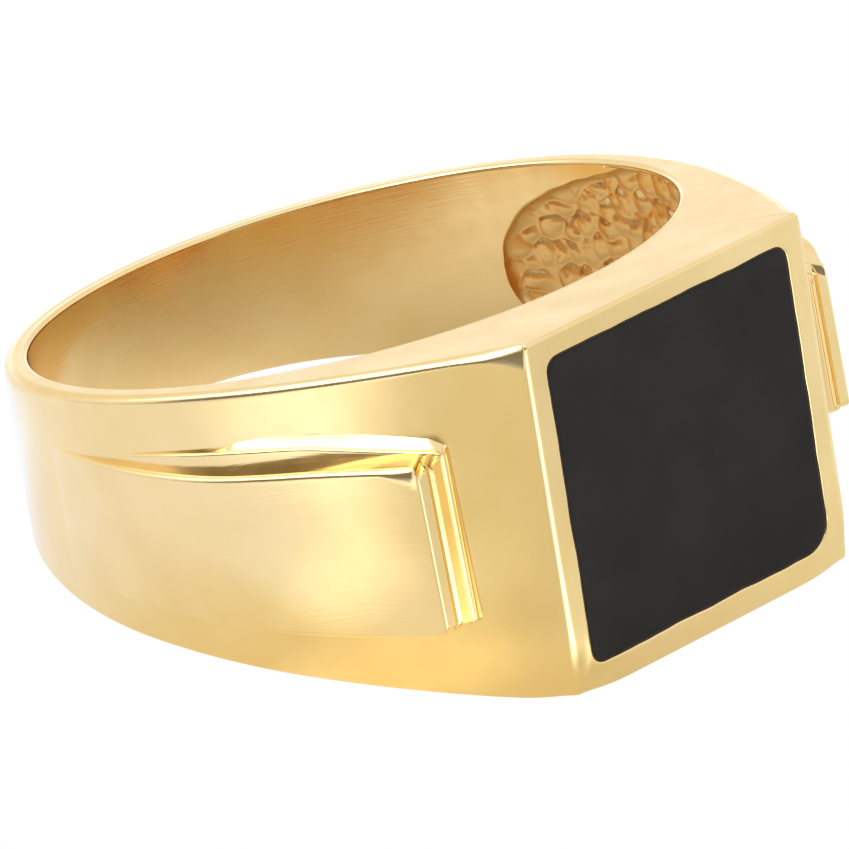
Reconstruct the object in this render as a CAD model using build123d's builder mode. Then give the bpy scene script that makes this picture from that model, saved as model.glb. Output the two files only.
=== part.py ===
from build123d import *

import os
from math import cos, radians, sin

# Signet ring with a flush black onyx tablet and a stepped strap on each shoulder.
# Frame: origin at the middle of the finger bore, +Z along the bore, the head towards -Y,
# +X to the right of someone who looks at the face. Millimetres.

# ---- driving dimensions ------------------------------------------------------------
# finger bore and plain shank
bore_radius = 9.90  # inside diameter 19.8 mm, US ring size 10
shank_radius = 10.70  # outside of the round shank
shank_shift = 0.06  # the outside circle sits this far towards the head

# head and its face
face_distance = 13.20  # from the bore's axis to the face
face_width = 11.35  # across the face, along X
head_shift = 0.205  # the head sits this far off the bore's middle, towards +X
width_at_axis = 7.38  # the band's width, along Z, level with the bore's axis
taper = 0.135  # growth of each half width per millimetre towards the head

# shoulders: the outline leaves the round shank and runs in two arcs to the face
shoulder_start = 95.0  # degrees round from the back of the shank
shoulder_middle = (9.30, -6.50)

# recess, stone and cement
recess_width = 9.94
recess_height = 9.52
recess_depth = 1.50
recess_corner = 0.50
cement_gap = 0.06  # cement round the stone's edge
cement_bed = 0.15  # cement under the stone

# hollow in the back of each shoulder, given on the +X side
hollow_start = 68.5  # degrees round from the back of the shank
hollow_stop = 150.0  # the wall behind the stone is left whole from here on
hollow_side_start = (9.86, 2.90)  # the side wall follows the outline, 0.5 mm inside it
hollow_side_middle = (10.22, -1.00)
hollow_side_end = (8.80, -6.35)
hollow_corner = (6.40, -10.90)
hollow_half_heights = [(2.40, 2.05), (-0.50, 3.22), (-5.50, 3.95)]  # (y, half height)
hollow_tallest = (-11.10, 4.45)

# stepped straps, all given on the +X side
strap_top = (1.76, 0.0625)  # height over the bore's middle, and its growth per mm to the head
strap_low = (2.42, 0.0320)  # the same, under the bore's middle
step_over = 0.35  # the step stands out this far above the strap
step_under = 0.14  # and this far below it
right_top = 0.56  # the right shoulder's step and strap end this much higher above
right_low = -0.82  # and reach this much less below
step_start = 74.0  # degrees round from the back of the shank
step_middle = (9.58, -6.66)
step_foot = 7.31  # half the distance between the two steps' ends
step_end = 11.21  # from the bore's axis to the plane of the steps' end walls
strap_start = 55.0
strap_crown = (11.08, -2.00)
strap_shoulder = (10.28, -7.00)
strap_foot = 8.50  # half the distance between the two straps' ends
strap_end = 11.28  # from the bore's axis to the plane of the straps' end walls
plate_sink = 0.15  # step and strap start this far under the shank's surface

# rounded edges
side_edge = 0.20  # where the outside meets the two flat sides
corner_edge = 0.25  # the head's four upright corners
strap_edge = 0.12  # the strap's upright outer edge at its end wall

# ---- derived values ----------------------------------------------------------------
reach = 14.0  # further than any part of the ring from its origin


def half_width(y):
    """Half the band's width, along Z, at this distance from the bore's axis."""
    return width_at_axis / 2 - taper * y


def edge_height(edge, margin, y):
    """Height of a strap's long edge, moved out by a margin, at this distance."""
    return edge[0] + margin - edge[1] * y


def shank_point(angle, depth=0.0):
    """A point this deep under the shank's outside and this many degrees from the back."""
    radius = shank_radius - depth
    return (radius * sin(radians(angle)), radius * cos(radians(angle)) - shank_shift)


def shank_direction(angle):
    """The way the outline runs there, towards the head."""
    return (cos(radians(angle)), -sin(radians(angle)))


def bore_point(angle):
    """A point on the bore's wall, this many degrees round from the back."""
    return (bore_radius * sin(radians(angle)), bore_radius * cos(radians(angle)))


def draw_body_side(side):
    """The ring's outline along the finger from the back to the face's middle; side is 1 or -1."""
    start = shank_point(shoulder_start)
    way = shank_direction(shoulder_start)
    corner = (side * face_width / 2 + head_shift, -face_distance)
    half_way = shank_point(shoulder_start / 2)
    ThreePointArc(shank_point(0), (side * half_way[0], half_way[1]), (side * start[0], start[1]))
    upper = TangentArc(
        (side * start[0], start[1]),
        (side * shoulder_middle[0], shoulder_middle[1]),
        tangent=(side * way[0], way[1]),
    )
    TangentArc(upper @ 1, corner, tangent=upper % 1)
    Line(corner, (head_shift, -face_distance))


def draw_body_outline():
    """The ring's whole outline along the finger."""
    draw_body_side(1)
    draw_body_side(-1)


def draw_block(top_margin, low_margin, end):
    """A strap's or step's tapered outline seen from the side, cut off at its end wall."""
    Polyline(
        (reach, edge_height(strap_top, top_margin, reach)),
        (-end, edge_height(strap_top, top_margin, -end)),
        (-end, -edge_height(strap_low, low_margin, -end)),
        (reach, -edge_height(strap_low, low_margin, reach)),
        close=True,
    )


# ---- tool for the two hollows: their plan along the finger, cut to their side view -----
with BuildPart() as hollows:
    with BuildSketch(Plane.XY.offset(-reach)):
        with BuildLine():
            mouth = Line(bore_point(hollow_start), hollow_side_start)
            side = ThreePointArc(mouth @ 1, hollow_side_middle, hollow_side_end)
            Polyline(side @ 1, hollow_corner, bore_point(hollow_stop), (0, 0), mouth @ 0)
        make_face()
        mirror(about=Plane.YZ)
    extrude(amount=2 * reach)
    with BuildSketch(Plane.YZ.offset(-reach)):
        with BuildLine():
            rim = Spline(
                (bore_point(hollow_start)[1], 0),
                *hollow_half_heights,
                hollow_tallest,
                tangents=[(0, 1), (-1, taper)],
            )
            Line(rim @ 1, (hollow_tallest[0], 0))
            mirror(about=Plane.XZ)
        make_face()
    extrude(amount=2 * reach, mode=Mode.INTERSECT)

# ---- ring body: shank, shoulders and head in one casting ------------------------------
with BuildPart() as ring_body:
    with BuildSketch(Plane.XY.offset(-reach)):
        with BuildLine():
            draw_body_outline()
        make_face()
    extrude(amount=2 * reach)

    # flat tapered sides: the band widens evenly from the back to the face
    with BuildSketch(Plane.YZ.offset(-reach)):
        with BuildLine():
            Polyline(
                (reach, half_width(reach)),
                (-reach, half_width(-reach)),
                (-reach, -half_width(-reach)),
                (reach, -half_width(reach)),
                close=True,
            )
        make_face()
    extrude(amount=2 * reach, mode=Mode.INTERSECT)

    # the face's upright corners first, then every edge round the two flat sides
    fillet(ring_body.edges().filter_by(Axis.Z).group_by(Axis.Y)[0], corner_edge)
    flats = ring_body.faces().filter_by(GeomType.PLANE).sort_by(Axis.Z)
    fillet(flats[0].edges() + flats[-1].edges(), side_edge)

    # finger bore
    with BuildSketch(Plane.XY.offset(-reach)):
        Circle(bore_radius)
    extrude(amount=2 * reach, mode=Mode.SUBTRACT)

    add(hollows.part, mode=Mode.SUBTRACT)

    # recess for the stone, cut from the face inwards
    with BuildSketch(Plane.XZ.offset(face_distance)):
        with Locations((head_shift, 0)):
            RectangleRounded(recess_width, recess_height, recess_corner)
    extrude(amount=-recess_depth, mode=Mode.SUBTRACT)
ring_body.part.label = "ring_body"

# ---- onyx tablet, flush with the face ---------------------------------------------------
with BuildPart() as onyx_tablet:
    with BuildSketch(Plane.XZ.offset(face_distance)):
        with Locations((head_shift, 0)):
            RectangleRounded(
                recess_width - 2 * cement_gap,
                recess_height - 2 * cement_gap,
                recess_corner - cement_gap,
            )
    extrude(amount=-(recess_depth - cement_bed))
onyx_tablet.part.label = "onyx_tablet"

# ---- cement: fills the recess under and round the stone ---------------------------------
with BuildPart() as inlay_cement:
    with BuildSketch(Plane.XZ.offset(face_distance)):
        with Locations((head_shift, 0)):
            RectangleRounded(recess_width, recess_height, recess_corner)
    extrude(amount=-recess_depth)
    add(onyx_tablet.part, mode=Mode.SUBTRACT)
inlay_cement.part.label = "inlay_cement"

# ---- plan of the ring's outside, as a tool that the shoulder pieces are cut back to -----
with BuildPart() as body_plan:
    with BuildSketch(Plane.XY.offset(-reach)):
        with BuildLine():
            draw_body_outline()
        make_face()
    extrude(amount=2 * reach)

# ---- plans of the step and the strap, as tools, drawn on the +X side ---------------------
with BuildPart() as step_plan:
    with BuildSketch(Plane.XY.offset(-reach)):
        with BuildLine():
            rise = TangentArc(
                shank_point(step_start, plate_sink),
                step_middle,
                tangent=shank_direction(step_start),
            )
            run = TangentArc(rise @ 1, (step_foot, -step_end), tangent=rise % 1)
            Polyline(run @ 1, (0, -step_end), (0, 0), rise @ 0)
        make_face()
    extrude(amount=2 * reach)

with BuildPart() as strap_plan:
    with BuildSketch(Plane.XY.offset(-reach)):
        with BuildLine():
            rise = TangentArc(
                shank_point(strap_start, plate_sink),
                strap_crown,
                tangent=shank_direction(strap_start),
            )
            run = TangentArc(rise @ 1, strap_shoulder, tangent=rise % 1)
            drop = TangentArc(run @ 1, (strap_foot, -strap_end), tangent=run % 1)
            Polyline(drop @ 1, (0, -strap_end), (0, 0), rise @ 0)
        make_face()
    extrude(amount=2 * reach)

# ---- right shoulder: the step is the low base plate, the strap the raised plate on it ----
with BuildPart() as shoulder_step_right:
    add(step_plan.part)
    with BuildSketch(Plane.YZ):
        with BuildLine():
            draw_block(right_top + step_over, right_low + step_under, step_end)
        make_face()
    extrude(amount=reach, mode=Mode.INTERSECT)
    add(body_plan.part, mode=Mode.SUBTRACT)
shoulder_step_right.part.label = "shoulder_step_right"

with BuildPart() as shoulder_strap_right:
    add(strap_plan.part)
    with BuildSketch(Plane.YZ):
        with BuildLine():
            draw_block(right_top, right_low, strap_end)
        make_face()
    extrude(amount=reach, mode=Mode.INTERSECT)
    end_wall = shoulder_strap_right.faces().sort_by(Axis.Y)[0]
    outer_edge = end_wall.edges().sort_by(Axis.X)[-1]
    fillet(outer_edge, strap_edge)
    add(step_plan.part, mode=Mode.SUBTRACT)
    add(body_plan.part, mode=Mode.SUBTRACT)
shoulder_strap_right.part.label = "shoulder_strap_right"

# ---- left shoulder: the same two plates, set a little lower -------------------------------
with BuildPart() as shoulder_step_left:
    mirror(step_plan.part, about=Plane.YZ)
    with BuildSketch(Plane.YZ):
        with BuildLine():
            draw_block(step_over, step_under, step_end)
        make_face()
    extrude(amount=-reach, mode=Mode.INTERSECT)
    add(body_plan.part, mode=Mode.SUBTRACT)
shoulder_step_left.part.label = "shoulder_step_left"

with BuildPart() as shoulder_strap_left:
    mirror(strap_plan.part, about=Plane.YZ)
    with BuildSketch(Plane.YZ):
        with BuildLine():
            draw_block(0, 0, strap_end)
        make_face()
    extrude(amount=-reach, mode=Mode.INTERSECT)
    end_wall = shoulder_strap_left.faces().sort_by(Axis.Y)[0]
    outer_edge = end_wall.edges().sort_by(Axis.X)[0]
    fillet(outer_edge, strap_edge)
    mirror(step_plan.part, about=Plane.YZ, mode=Mode.SUBTRACT)
    add(body_plan.part, mode=Mode.SUBTRACT)
shoulder_strap_left.part.label = "shoulder_strap_left"

# ---- files ------------------------------------------------------------------------------
os.makedirs("parts", exist_ok=True)
export_step(ring_body.part, "parts/ring_body.step")
export_step(onyx_tablet.part, "parts/onyx_tablet.step")
export_step(inlay_cement.part, "parts/inlay_cement.step")
export_step(shoulder_step_right.part, "parts/shoulder_step_right.step")
export_step(shoulder_step_left.part, "parts/shoulder_step_left.step")
export_step(shoulder_strap_right.part, "parts/shoulder_strap_right.step")
export_step(shoulder_strap_left.part, "parts/shoulder_strap_left.step")
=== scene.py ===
import math

import bmesh
import bpy
import numpy as np
from mathutils import Matrix, Vector, noise


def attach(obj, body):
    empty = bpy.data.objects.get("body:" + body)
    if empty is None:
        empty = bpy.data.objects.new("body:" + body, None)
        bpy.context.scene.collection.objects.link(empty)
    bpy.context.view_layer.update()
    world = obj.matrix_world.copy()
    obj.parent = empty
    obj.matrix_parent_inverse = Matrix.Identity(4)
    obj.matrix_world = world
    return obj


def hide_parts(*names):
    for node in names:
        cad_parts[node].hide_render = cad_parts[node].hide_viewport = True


# Signet ring with a flush onyx tablet and a stepped strap on each shoulder.
# Frame: origin in the middle of the finger bore, +Z along the bore, the head towards -Y.
# The numbers below are millimetres and become metres when a mesh is made.

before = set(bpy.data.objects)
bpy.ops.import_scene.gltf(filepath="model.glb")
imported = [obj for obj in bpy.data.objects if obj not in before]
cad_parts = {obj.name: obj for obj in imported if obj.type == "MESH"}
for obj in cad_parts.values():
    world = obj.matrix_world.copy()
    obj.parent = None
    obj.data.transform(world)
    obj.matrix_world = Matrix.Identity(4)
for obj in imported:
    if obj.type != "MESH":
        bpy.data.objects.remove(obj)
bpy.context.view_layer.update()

MM = 0.001

# ---- ring body ----
BORE_RADIUS = 9.90
SHANK_RADIUS = 10.70
SHANK_SHIFT = 0.06  # the outside circle sits this far towards the head
FACE_DISTANCE = 13.20
FACE_HALF_WIDTH = 5.675
HEAD_SHIFT = 0.205  # the head sits this far off the bore's middle, towards +X
SHOULDER_START = 95.0  # degrees round from the back
SHOULDER_MIDDLE = (9.30, -6.50)
HALF_WIDTH_AT_AXIS = 3.69
TAPER = 0.135
LOWER_TAPER = 0.144  # the lower side flares a little more
CORNER_EDGE = 0.29  # rounding of the face's upright corners
EDGE_AT_HEAD = 0.24  # rounding along the upper flat side, crisp at the head
EDGE_AT_BACK = 0.42  # and worn rounder at the back
LOWER_EDGE = 0.13  # the lower side is crisp all round
WORN_CORNER = 0.34  # close to the face the upper rounding runs this far down the shoulder
WORN_FACET = [  # a worn facet on the shoulders' upper corners: distance to the head, depth
    (9.6, 0.0), (10.5, 0.10), (11.4, 0.20), (12.1, 0.32), (12.6, 0.50), (13.1, 0.78), (13.3, 0.78),
]
FACET_SLOPE = 0.28
FACET_SOFT = 0.12  # the facet runs out softly over about this height
WORN_FROM = 11.3  # from this distance to the head on, the upper rounding runs further down
CRISP_FROM, CRISP_LENGTH, CRISP_SHARE = 12.2, 0.8, 0.58  # and is this much narrower at the face
WORN_LOWER = (0.05, 0.13, 0.11)  # the face's lower corners are worn inwards, back and up
WORN_REACH = 1.05
BORE_EDGE = 0.14
BODY_MESH = (0.12, 0.03)  # distance between stations where the outline is straight, and bent

# ---- recess, stone and cement ----
RECESS_WIDTH = 9.94
RECESS_HEIGHT = 9.52
RECESS_DEPTH = 1.50
RECESS_CORNERS = (0.50, 0.42, 0.48, 1.00)  # upper right, upper left, lower left, lower right
LIP_EDGE = 0.05
HAND_CUT = 0.035  # waviness of the recess's edge
CEMENT_GAP = 0.06
CEMENT_BED = 0.15
CEMENT_SINK = 0.03
CEMENT_FIT = 0.002  # the cement's surfaces stay this far off the stone and the gold
ONYX_EDGE = 0.04

# ---- hollow in the back of each shoulder, given on the +X side ----
# rim: degrees round from the back, half height
HOLLOW_RIM = [
    (68.5, 0.0), (69.1, 0.62), (71.0, 1.22), (75.0, 1.92), (81.0, 2.52), (89.0, 3.06),
    (97.0, 3.50), (106.0, 3.84), (116.0, 4.08), (130.0, 4.28), (144.0, 4.36), (149.0, 4.10),
    (150.0, 3.40),
]
# floor: degrees round from the back, depth under the bore's wall
HOLLOW_DEPTH = [
    (60, 0.30), (75, 0.36), (96, 0.40), (110, 0.60), (126, 0.95), (140, 1.70), (152, 2.60),
]
HOLLOW_BLOCK = (66.0, 152.5)  # this stretch of the bore's wall is remade with the hollow in it
HOLLOW_NOSE = 2.2  # this much of the rim, in mm from its tip, is the block's narrow end
HOLLOW_EDGE = 0.06  # rounding of the rim
HOLLOW_WAVE = 0.09  # and its waviness
HOLLOW_WALL = 0.22  # the steep wall under the rim is this wide
NUGGET_SIZE = 0.72
NUGGET_HEIGHT = 0.13
NUGGET_SEED = 1  # without it Blender's vector noise starts from the clock
HOLLOW_MARK = 100.0  # added to the flow coordinate in the hollows, where the gold is as cast and rougher, and painted darker and redder as shade
# painted shade: the hollows' gold colour, darker and redder
HOLLOW_SHADE_COLOUR = (0.86, 0.58, 0.24, 1)
AS_CAST_ROUGHER = 0.12

# ---- step and strap, given on the +X side ----
PLATE_MESH = (0.13, 0.025)  # as BODY_MESH
STRAP_END = 11.28
# heights above and below the bore's middle, by distance from the bore's axis to the head
STRAP_TOP = [
    (-6, 1.58), (0, 1.76), (2.5, 1.86), (4.6, 1.98), (6.6, 2.19), (8.3, 2.36), (9.8, 2.44),
    (11.4, 2.46),
]
STRAP_LOW = [(-6, 2.20), (0, 2.44), (2.5, 2.59), (4.7, 2.72), (8.0, 2.77), (11.4, 2.79)]
STEP_TOP = [
    (-3, 1.60), (0, 1.92), (2.1, 2.24), (4.1, 2.48), (5.7, 2.66), (7.2, 2.77), (8.7, 2.72),
    (11.4, 2.52),
]
STEP_LOW = [(-3, 2.40), (0, 2.56), (4.7, 2.80), (11.4, 2.86)]
STEP_START = 74.0
STEP_MIDDLE = (9.58, -6.66)
STEP_FOOT = 7.31
STRAP_START = 55.0
STRAP_CROWN = (11.08, -2.00)
STRAP_SHOULDER = (10.28, -7.00)
STRAP_FOOT = 8.50
STEP_END = 11.215
END_WALL = [  # plan of the strap's end wall, with a sharp and a shallow groove down it
    (8.14, -11.26), (8.08, -11.09), (8.00, -11.24), (7.87, -11.28), (7.83, -11.23), (7.46, -11.18),
    (7.30, -11.05),
]
END_LEAN = 0.040  # the ends lean: further towards the head below than above
LEAN_FROM, LEAN_LENGTH = 7.0, 4.0  # this builds up from here on, over this length
GROOVE_EDGE = 0.04  # the end wall's edges are crisp, so that the grooves keep their shape
PLATE_SINK = 0.15
STEP_ROOT = 0.36  # the step stands this high over the shoulder at its end
PLATE_ROOT = 0.30  # how far step and strap reach under the surface they stand on
ROOT_SHORT = 0.12  # down there they end this much earlier
ROOT_SHARE = 0.45  # the rounding takes at most this share of the wall it runs along
STEP_EDGE = 0.10
STEP_CORNER = 0.20  # the step's upright edge at its end
STRAP_EDGE = 0.12
TOP_EDGE = 0.20  # rounding along the plates' upper edges
WORN_END = 0.75  # close to the end it runs this far down the strap's face,
WORN_BEFORE, WORN_AFTER = 1.1, 0.3  # fading out over these lengths before and past the corner
# the plates' upper sides slope up to what they stand on, by this much at this distance to the head
STEP_SLOPE = [
    (-3, 0.0), (3.6, 0.0), (5.2, 0.26), (7.0, 0.42), (10.2, 0.42), (11.0, 0.20), (11.4, 0.05),
]
STRAP_SLOPE = [(-6, 0.0), (5.0, 0.02), (7.5, 0.12), (10.5, 0.14), (11.4, 0.14)]
UPPER_CORNER = 0.28  # the strap's two outer corners, seen on its face
LOWER_CORNER = 0.40
RIGHT_STRAP = (0.56, -0.77, 0.90)  # the right one sits higher: top, low, and its upper corner

# ---- camera and floor ----
VIEW_AZIMUTH = -41.02
VIEW_ELEVATION = 20.41
VIEW_ROLL = -9.36
VIEW_DISTANCE = 358.5
VIEW_AIM = (1.563, -1.100)  # aim point, right and up of the origin as the camera sees it
LENS = 512.0
FLOOR_SIZE = 900.0
FLOOR_GAP = 0.02  # under the ring

# ---- light: degrees round from the face's front towards +X, and linear colours ----
TABLE_NEAR_PAINTED_LIGHT = [  # painted light and shade on the table within a ring's width of the ring, seen only in the gold: gold-tinted and darker where the ring shades it
    (-180, (1.00, 1.10, 1.30)), (-150, (1.00, 1.12, 1.45)), (-135, (0.97, 1.00, 1.15)),
    (-115, (0.93, 0.94, 1.02)), (-96, (0.90, 0.87, 0.83)), (-80, (0.87, 0.79, 0.60)),
    (-66, (0.88, 0.77, 0.53)), (-55, (1.10, 0.95, 0.62)), (-42, (1.14, 0.97, 0.58)),
    (-33, (0.88, 0.76, 0.50)), (-15, (0.76, 0.70, 0.53)), (0, (0.79, 0.74, 0.62)),
    (15, (0.84, 0.82, 0.72)), (30, (0.88, 0.88, 0.78)), (60, (0.90, 0.85, 0.70)),
    (120, (0.95, 1.00, 1.00)), (180, (1.00, 1.10, 1.30)),
]
GLARE = [  # a bright patch in front of the ring
    (-29, (0.82, 0.80, 0.68)), (-23, (2.40, 2.40, 2.40)), (-8, (2.60, 2.60, 2.60)),
    (-3, (1.10, 1.12, 1.05)),
]
TABLE_MIDDLE_PAINTED_LIGHT = [  # painted light and shade on the table about two ring widths from the middle
    (-180, (1.00, 1.05, 1.15)), (-150, (1.00, 1.05, 1.20)), (-120, (0.95, 0.96, 1.02)),
    (-98, (0.95, 0.96, 1.02)), (-84, (0.98, 1.00, 1.10)), (-78, (1.01, 1.04, 1.10)),
    (-74, (1.20, 1.25, 1.25)), (-69, (1.40, 1.38, 1.30)), (-64, (1.20, 1.15, 1.10)),
    (-60, (0.90, 0.87, 0.80)), (-54, (0.93, 0.90, 0.77)), (-48, (0.88, 0.81, 0.58)),
    (-42, (0.78, 0.71, 0.52)), *GLARE, (2, (0.90, 0.89, 0.77)),
    (16, (0.87, 0.85, 0.74)), (28, (0.88, 0.86, 0.76)), (40, (1.00, 1.02, 0.98)),
    (60, (0.98, 0.97, 0.95)), (110, (1.00, 1.00, 1.00)), (140, (1.50, 1.50, 1.60)),
    (180, (1.00, 1.05, 1.15)),
]
TABLE_FAR_PAINTED_LIGHT = [  # and painted light and shade beyond
    (-180, (1.00, 1.00, 1.05)), (-150, (1.00, 1.05, 1.15)), (-120, (0.95, 0.96, 1.02)),
    (-98, (0.97, 0.98, 1.05)), (-92, (1.15, 1.20, 1.15)), (-86, (1.40, 1.40, 1.45)),
    (-76, (1.45, 1.45, 1.50)), (-72, (1.30, 1.30, 1.25)), (-69, (0.95, 0.92, 0.82)),
    (-66, (0.84, 0.81, 0.70)), (-58, (0.82, 0.78, 0.60)), (-50, (0.79, 0.73, 0.53)),
    (-42, (0.73, 0.69, 0.60)), *GLARE, (2, (0.92, 0.92, 0.80)),
    (16, (0.84, 0.82, 0.74)), (28, (0.80, 0.79, 0.74)), (40, (0.95, 0.97, 0.93)),
    (60, (0.98, 0.97, 0.95)), (110, (1.00, 1.00, 1.00)), (140, (1.50, 1.50, 1.60)),
    (180, (1.00, 1.00, 1.05)),
]
NEAR_TO_MIDDLE = (15.0, 20.5)  # mm from the bore's axis over which the colours change over
MIDDLE_TO_FAR = (24.0, 30.0)
INSIDE_LIT_LEFT = (0.96, 0.88, 0.78, 1)  # painted light on the table seen through the bore, to the camera's left, seen only in the gold
INSIDE_SHADE_RIGHT = (0.50, 0.42, 0.29, 1)  # and painted shade to its right
INSIDE_SHADE_NEAR = (0.60, 0.42, 0.20, 1)  # and painted gold-tinted shade close to the gold's near side
INSIDE_ACROSS = (-9.0, 7.0)  # mm to the camera's right over which left becomes right
INSIDE_AWAY = (-9.0, 0.0)  # mm away from the camera over which near becomes far
INSIDE_EDGE = (9.9, 10.4)  # mm from the bore's axis
SEEN_SHADE_INSIDE = (0.93, 0.93, 0.97, 1)  # painted shade on the table inside the bore, as the camera itself sees it
SEEN_EDGE = (9.6, 9.9)
WHITE = (1, 1, 1, 1)
TENT_PATCHES = [  # azimuth, elevation, width, height, softness, colour
    (-85, -2, 150, 24, 6, (0.55, 0.55, 0.58)),
    (-105, 52, 90, 38, 7, (3.0, 3.0, 3.0)),
    (-62, 18, 125, 28, 5, (0.22, 0.21, 0.20)),
    (139, 22, 100, 44, 10, (0.97, 0.92, 0.80)),
]


# ---- plane curves ----
def unit(v):
    v = np.asarray(v, float)
    return v / np.linalg.norm(v)


def arc(start, direction, end, count):
    """Points on the arc that leaves start this way and reaches end, and its last direction."""
    start, end, d = np.array(start, float), np.array(end, float), unit(direction)
    n = np.array([-d[1], d[0]])
    chord = end - start
    half = math.atan2(chord @ n, chord @ d)
    radius = np.linalg.norm(chord) / (2 * math.sin(half))
    turn = 2 * half * np.linspace(0, 1, count)
    points = start + radius * (np.outer(np.sin(turn), d) + np.outer(1 - np.cos(turn), n))
    last = math.cos(2 * half) * d + math.sin(2 * half) * n
    return points, last


def line(start, end, count):
    t = np.linspace(0, 1, count)[:, None]
    return (1 - t) * np.array(start, float) + t * np.array(end, float)


def rounded(first, second, radius, count=14):
    """Joins two runs of points that meet in a corner, with that corner rounded."""
    corner = first[-1]
    a, b = unit(first[-2] - corner), unit(second[1] - corner)
    half = math.acos(np.clip(a @ b, -1, 1)) / 2
    back = radius / math.tan(half)
    first = first[np.linalg.norm(first - corner, axis=1) > back * 1.02]
    second = second[np.linalg.norm(second - corner, axis=1) > back * 1.02]
    bend, _ = arc(corner + a * back, -a, corner + b * back, count)
    return np.vstack([first, bend, second])


def length_along(points):
    return np.r_[0, np.cumsum(np.linalg.norm(np.diff(points, axis=0), axis=1))]


def at_lengths(points, lengths):
    s = length_along(points)
    return np.column_stack([np.interp(lengths, s, points[:, k]) for k in range(points.shape[1])])


def resampled(points, straight, bent):
    """The same curve with stations this far apart where straight, closer where it bends."""
    s = length_along(points)
    fine = np.arange(0, s[-1], 0.01)
    p = at_lengths(points, fine)
    t = np.gradient(p, axis=0)
    t /= np.linalg.norm(t, axis=1)[:, None]
    bend = np.abs(np.gradient(np.unwrap(np.arctan2(t[:, 1], t[:, 0])), fine))
    soft = np.convolve(np.pad(bend, 15, mode="edge"), np.ones(31) / 31, mode="valid")
    step = np.clip(straight / (1 + soft * straight / bent), bent * 0.25, straight)
    total = np.r_[0, np.cumsum(0.5 * (1 / step[1:] + 1 / step[:-1]) * 0.01)]
    count = int(total[-1]) + 1
    return at_lengths(points, np.interp(np.linspace(0, total[-1], count), total, fine))


def outward_normals(points, closed=False):
    """Unit normals on the right-hand side of the way the curve runs."""
    if closed:
        t = np.roll(points, -1, axis=0) - np.roll(points, 1, axis=0)
    else:
        t = np.gradient(points, axis=0)
    n = np.column_stack([-t[:, 1], t[:, 0]])
    return n / np.linalg.norm(n, axis=1)[:, None]


def loop_normals(points):
    """Unit normals that point out of a closed loop, whichever way it runs."""
    out = outward_normals(points, closed=True)
    inwards = (out * (points - points.mean(0))).sum(1).mean() < 0
    return -out if inwards else out


def smooth_curve(knots, count):
    """A smooth curve through these points, even along its length."""
    p = np.array(knots, float)
    p = np.vstack([2 * p[0] - p[1], p, 2 * p[-1] - p[-2]])
    out = []
    for k in range(1, len(p) - 2):
        t = np.linspace(0, 1, 24, endpoint=False)[:, None]
        a, b, c, d = p[k - 1], p[k], p[k + 1], p[k + 2]
        out.append(0.5 * (2 * b + (c - a) * t + (2 * a - 5 * b + 4 * c - d) * t**2
                          + (3 * b - a - 3 * c + d) * t**3))
    out = np.vstack(out + [p[-2][None]])
    s = length_along(out)
    return at_lengths(out, np.linspace(0, s[-1], count))


def shank_point(angle, depth=0.0):
    a = math.radians(angle)
    radius = SHANK_RADIUS - depth
    return (radius * math.sin(a), radius * math.cos(a) - SHANK_SHIFT)


def shank_direction(angle):
    return (math.cos(math.radians(angle)), -math.sin(math.radians(angle)))


def half_width(y, taper=TAPER):
    return HALF_WIDTH_AT_AXIS - taper * y


def body_outline(side=1):
    """Half of the ring's outline along the finger, from the back round to the face's middle."""
    corner = (FACE_HALF_WIDTH + side * HEAD_SHIFT, -FACE_DISTANCE)
    a = np.radians(np.linspace(0, SHOULDER_START, 400))
    shank = np.column_stack([SHANK_RADIUS * np.sin(a), SHANK_RADIUS * np.cos(a) - SHANK_SHIFT])
    upper, way = arc(shank[-1], shank_direction(SHOULDER_START), SHOULDER_MIDDLE, 200)
    lower, _ = arc(SHOULDER_MIDDLE, way, corner, 300)
    shoulder = np.vstack([shank, upper[1:], lower[1:]])
    face = line(corner, (0, -FACE_DISTANCE), 200)
    return rounded(shoulder, face, CORNER_EDGE)


# ---- meshes ----
class Build:
    """Vertices, faces and a flow coordinate (mm along and across the piece) for one mesh."""

    def __init__(self):
        self.points, self.flow, self.faces, self.count = [], [], [], 0

    def add(self, points, flow=None):
        """Adds an array of points and returns their indices in the same shape."""
        points = np.asarray(points, float)
        shape = points.shape[:-1]
        flow = points if flow is None else np.asarray(flow, float)
        self.points.append(points.reshape(-1, 3))
        self.flow.append(flow.reshape(-1, 3))
        first = self.count
        self.count += int(np.prod(shape))
        return np.arange(first, self.count).reshape(shape)

    def sheet(self, index):
        """Quads over a grid of indices."""
        a, b, c, d = index[:-1, :-1], index[1:, :-1], index[1:, 1:], index[:-1, 1:]
        self.faces.append(np.stack([a, b, c, d], -1).reshape(-1, 4))

    def bridge(self, first, second):
        """Quads between two closed loops of the same length."""
        self.sheet(np.column_stack([np.r_[first, first[:1]], np.r_[second, second[:1]]]))

    def make(self, name, mirror=False):
        points = np.vstack(self.points) * MM
        flow = np.vstack(self.flow)
        faces = np.vstack(self.faces)
        faces = faces[[len(set(f)) == 4 for f in faces.tolist()]]
        if mirror:
            points = points * (-1, 1, 1)
        mesh = bpy.data.meshes.new(name)
        mesh.from_pydata(points.tolist(), [], faces.tolist())
        layer = mesh.attributes.new("flow", "FLOAT_VECTOR", "POINT")
        layer.data.foreach_set("vector", flow.astype(np.float32).ravel())
        clean = bmesh.new()
        clean.from_mesh(mesh)
        unused = [v for v in clean.verts if not v.link_faces]
        bmesh.ops.delete(clean, geom=unused, context="VERTS")
        bmesh.ops.recalc_face_normals(clean, faces=clean.faces)
        clean.to_mesh(mesh)
        clean.free()
        mesh.polygons.foreach_set("use_smooth", [True] * len(mesh.polygons))
        mesh.update()
        piece = bpy.data.objects.new(name, mesh)
        bpy.context.scene.collection.objects.link(piece)
        return piece


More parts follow.
